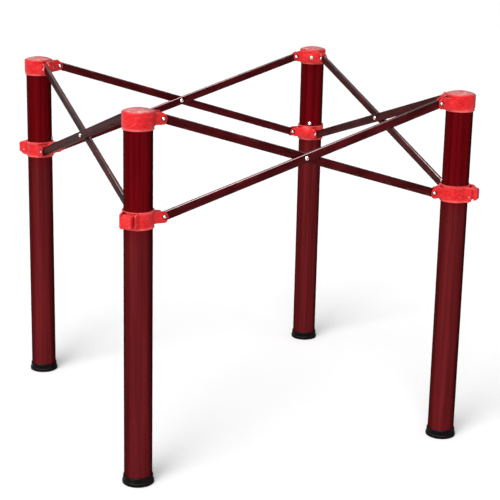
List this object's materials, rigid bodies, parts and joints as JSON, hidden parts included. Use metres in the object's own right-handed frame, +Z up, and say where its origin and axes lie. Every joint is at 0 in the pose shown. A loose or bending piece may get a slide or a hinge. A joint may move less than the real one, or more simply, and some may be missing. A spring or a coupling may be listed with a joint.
{
  "type": "folding four-leg stand",
  "caption": "Square stand with round tube legs, moulded corner caps, sliding latch collars and crossed scissor braces that fold it into a bundle.",
  "frame": {"origin": "on the floor, midway between the four legs", "axes": "+Z up; X and Y along the sides of the square; -Y is the front, where the nearest leg stands at the left"},
  "size_m": [0.6986, 0.6986, 0.671],
  "materials": {
    "tube_enamel": "satin gloss burgundy enamel on round tube",
    "brace_enamel": "dark maroon enamel on rectangular tube",
    "red_plastic": "moulded coral red plastic, semi-gloss",
    "black_rubber": "black moulded rubber",
    "rivet_metal": "bright nickel-plated rivets and pins",
    "spring_steel": "plain spring wire"
  },
  "bodies": {
    "leg_front_left": {"leg_tube_front_left": "tube_enamel", "top_cap_front_left": "red_plastic", "foot_front_left": "black_rubber", "stop_rivet_front_left": "rivet_metal", "cap_rivet_front_a": "rivet_metal", "cap_rivet_left_b": "rivet_metal"},
    "collar_front_left": {"collar_front_left": "red_plastic", "lever_pin_front_left": "rivet_metal", "lever_spring_front_left": "spring_steel", "collar_rivet_front_a": "rivet_metal", "collar_rivet_left_b": "rivet_metal"},
    "lever_front_left": {"release_lever_front_left": "red_plastic"},
    "leg_front_right": {"leg_tube_front_right": "tube_enamel", "top_cap_front_right": "red_plastic", "foot_front_right": "black_rubber", "stop_rivet_front_right": "rivet_metal", "cap_rivet_front_b": "rivet_metal", "cap_rivet_right_a": "rivet_metal"},
    "collar_front_right": {"collar_front_right": "red_plastic", "lever_pin_front_right": "rivet_metal", "lever_spring_front_right": "spring_steel", "collar_rivet_front_b": "rivet_metal", "collar_rivet_right_a": "rivet_metal"},
    "lever_front_right": {"release_lever_front_right": "red_plastic"},
    "leg_back_right": {"leg_tube_back_right": "tube_enamel", "top_cap_back_right": "red_plastic", "foot_back_right": "black_rubber", "stop_rivet_back_right": "rivet_metal", "cap_rivet_right_b": "rivet_metal", "cap_rivet_back_a": "rivet_metal"},
    "collar_back_right": {"collar_back_right": "red_plastic", "lever_pin_back_right": "rivet_metal", "lever_spring_back_right": "spring_steel", "collar_rivet_right_b": "rivet_metal", "collar_rivet_back_a": "rivet_metal"},
    "lever_back_right": {"release_lever_back_right": "red_plastic"},
    "leg_back_left": {"leg_tube_back_left": "tube_enamel", "top_cap_back_left": "red_plastic", "foot_back_left": "black_rubber", "stop_rivet_back_left": "rivet_metal", "cap_rivet_back_b": "rivet_metal", "cap_rivet_left_a": "rivet_metal"},
    "collar_back_left": {"collar_back_left": "red_plastic", "lever_pin_back_left": "rivet_metal", "lever_spring_back_left": "spring_steel", "collar_rivet_back_b": "rivet_metal", "collar_rivet_left_a": "rivet_metal"},
    "lever_back_left": {"release_lever_back_left": "red_plastic"},
    "brace_front_rising": {"brace_front_rising": "brace_enamel"},
    "brace_front_falling": {"brace_front_falling": "brace_enamel", "cross_rivet_front": "rivet_metal"},
    "brace_right_rising": {"brace_right_rising": "brace_enamel"},
    "brace_right_falling": {"brace_right_falling": "brace_enamel", "cross_rivet_right": "rivet_metal"},
    "brace_back_rising": {"brace_back_rising": "brace_enamel", "cross_rivet_back": "rivet_metal"},
    "brace_back_falling": {"brace_back_falling": "brace_enamel"},
    "brace_left_rising": {"brace_left_rising": "brace_enamel", "cross_rivet_left": "rivet_metal"},
    "brace_left_falling": {"brace_left_falling": "brace_enamel"}
  },
  "joints": [
    {"name": "fold", "type": "hinge", "parent": "leg_front_left", "child": "brace_front_falling", "pos_m": [-0.265, -0.3052, 0.6502], "axis": [0, 1, 0], "range_deg": [0, 70]},
    {"name": "front_cross", "type": "hinge", "parent": "brace_front_falling", "child": "brace_front_rising", "pos_m": [0, -0.309, 0.5666], "axis": [0, 1, 0], "range_deg": [-140, 0]},
    {"name": "front_right_cap", "type": "hinge", "parent": "brace_front_rising", "child": "leg_front_right", "pos_m": [0.265, -0.3128, 0.6502], "axis": [0, 1, 0], "range_deg": [0, 70]},
    {"name": "front_right_collar", "type": "hinge", "parent": "brace_front_falling", "child": "collar_front_right", "pos_m": [0.265, -0.3052, 0.483], "axis": [0, 1, 0], "range_deg": [-70, 0]},
    {"name": "front_left_collar", "type": "hinge", "parent": "brace_front_rising", "child": "collar_front_left", "pos_m": [-0.265, -0.3128, 0.483], "axis": [0, 1, 0], "range_deg": [0, 70]},
    {"name": "left_brace", "type": "hinge", "parent": "leg_front_left", "child": "brace_left_rising", "pos_m": [-0.3128, -0.265, 0.6502], "axis": [1, 0, 0], "range_deg": [-70, 0]},
    {"name": "left_cross", "type": "hinge", "parent": "brace_left_rising", "child": "brace_left_falling", "pos_m": [-0.309, 0, 0.5666], "axis": [1, 0, 0], "range_deg": [0, 140]},
    {"name": "back_left_cap", "type": "hinge", "parent": "brace_left_falling", "child": "leg_back_left", "pos_m": [-0.3052, 0.265, 0.6502], "axis": [1, 0, 0], "range_deg": [-70, 0]},
    {"name": "back_left_collar", "type": "hinge", "parent": "brace_left_rising", "child": "collar_back_left", "pos_m": [-0.3128, 0.265, 0.483], "axis": [1, 0, 0], "range_deg": [0, 70]},
    {"name": "back_brace", "type": "hinge", "parent": "leg_back_left", "child": "brace_back_rising", "pos_m": [-0.265, 0.3128, 0.6502], "axis": [0, -1, 0], "range_deg": [-70, 0]},
    {"name": "back_cross", "type": "hinge", "parent": "brace_back_rising", "child": "brace_back_falling", "pos_m": [0, 0.309, 0.5666], "axis": [0, -1, 0], "range_deg": [0, 140]},
    {"name": "back_right_cap", "type": "hinge", "parent": "brace_back_falling", "child": "leg_back_right", "pos_m": [0.265, 0.3052, 0.6502], "axis": [0, -1, 0], "range_deg": [-70, 0]},
    {"name": "back_right_collar", "type": "hinge", "parent": "brace_back_rising", "child": "collar_back_right", "pos_m": [0.265, 0.3128, 0.483], "axis": [0, -1, 0], "range_deg": [0, 70]},
    {"name": "right_brace", "type": "hinge", "parent": "leg_front_right", "child": "brace_right_falling", "pos_m": [0.3052, -0.265, 0.6502], "axis": [-1, 0, 0], "range_deg": [0, 70]},
    {"name": "right_cross", "type": "hinge", "parent": "brace_right_falling", "child": "brace_right_rising", "pos_m": [0.309, 0, 0.5666], "axis": [-1, 0, 0], "range_deg": [-140, 0]},
    {"name": "release_front_left", "type": "hinge", "parent": "collar_front_left", "child": "lever_front_left", "pos_m": [-0.33127, -0.33127, 0.4785], "axis": [0.7071, -0.7071, 0], "range_deg": [0, 15], "stiffness_Nm_per_rad": 0.02, "springref_deg": -5, "deforming": ["lever_spring_front_left"]},
    {"name": "release_front_right", "type": "hinge", "parent": "collar_front_right", "child": "lever_front_right", "pos_m": [0.33127, -0.33127, 0.4785], "axis": [0.7071, 0.7071, 0], "range_deg": [0, 15], "stiffness_Nm_per_rad": 0.02, "springref_deg": -5, "deforming": ["lever_spring_front_right"]},
    {"name": "release_back_right", "type": "hinge", "parent": "collar_back_right", "child": "lever_back_right", "pos_m": [0.33127, 0.33127, 0.4785], "axis": [-0.7071, 0.7071, 0], "range_deg": [0, 15], "stiffness_Nm_per_rad": 0.02, "springref_deg": -5, "deforming": ["lever_spring_back_right"]},
    {"name": "release_back_left", "type": "hinge", "parent": "collar_back_left", "child": "lever_back_left", "pos_m": [-0.33127, 0.33127, 0.4785], "axis": [-0.7071, -0.7071, 0], "range_deg": [0, 15], "stiffness_Nm_per_rad": 0.02, "springref_deg": -5, "deforming": ["lever_spring_back_left"]}
  ],
  "couplings": [
    {"joint": "front_cross", "follows": "fold", "ratio": -2},
    {"joint": "front_right_cap", "follows": "fold", "ratio": 1},
    {"joint": "front_right_collar", "follows": "fold", "ratio": -1},
    {"joint": "front_left_collar", "follows": "fold", "ratio": 1},
    {"joint": "left_brace", "follows": "fold", "ratio": -1},
    {"joint": "left_cross", "follows": "fold", "ratio": 2},
    {"joint": "back_left_cap", "follows": "fold", "ratio": -1},
    {"joint": "back_left_collar", "follows": "fold", "ratio": 1},
    {"joint": "back_brace", "follows": "fold", "ratio": -1},
    {"joint": "back_cross", "follows": "fold", "ratio": 2},
    {"joint": "back_right_cap", "follows": "fold", "ratio": -1},
    {"joint": "back_right_collar", "follows": "fold", "ratio": 1},
    {"joint": "right_brace", "follows": "fold", "ratio": 1},
    {"joint": "right_cross", "follows": "fold", "ratio": -2}
  ]
}
